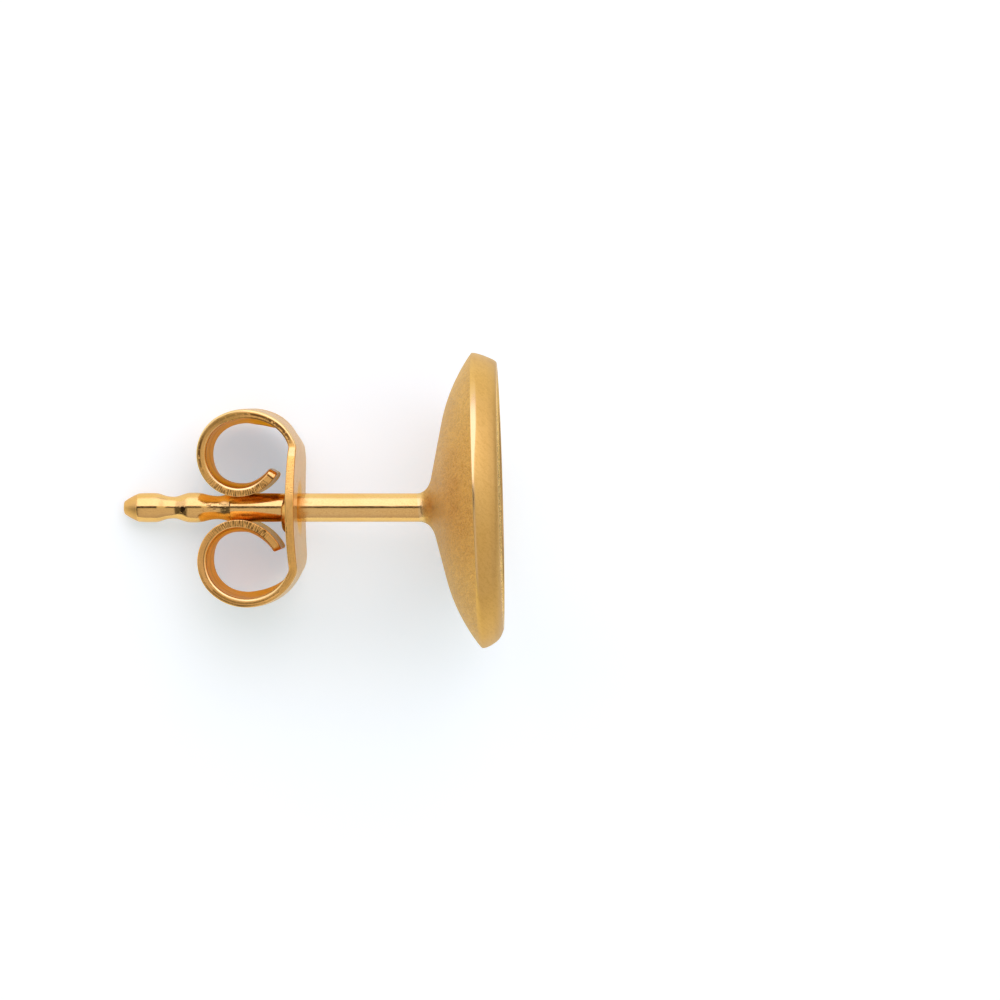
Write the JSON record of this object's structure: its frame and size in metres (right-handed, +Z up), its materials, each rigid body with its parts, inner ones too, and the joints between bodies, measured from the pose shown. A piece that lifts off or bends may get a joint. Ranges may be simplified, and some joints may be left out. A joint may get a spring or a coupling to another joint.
{
  "type": "stud earring with butterfly clutch",
  "caption": "Round concave disc stud with a grooved post and a sliding butterfly clutch, lying on its side.",
  "frame": {"origin": "middle of the resting earring's box, on the surface it lies on", "axes": "+Z up, +X from the post's free end towards the disc, +Y across the clutch's two scrolls"},
  "size_m": [0.0138, 0.01, 0.0093],
  "materials": {
    "satin_gold": "fine sandblasted satin, yellow gold",
    "scratched_gold": "matte with fine scratches in all directions",
    "polished_gold": "polished",
    "clutch_gold": "tumbled, half gloss"
  },
  "bodies": {
    "stud": {"disc_with_post": "satin_gold"},
    "clutch": {"butterfly_clutch": "clutch_gold"}
  },
  "joints": [
    {"name": "clutch_slide", "type": "slide", "parent": "stud", "child": "clutch", "axis": [-0.9339, 0, -0.3576], "range_m": [-0.0042, 0.0065]}
  ]
}
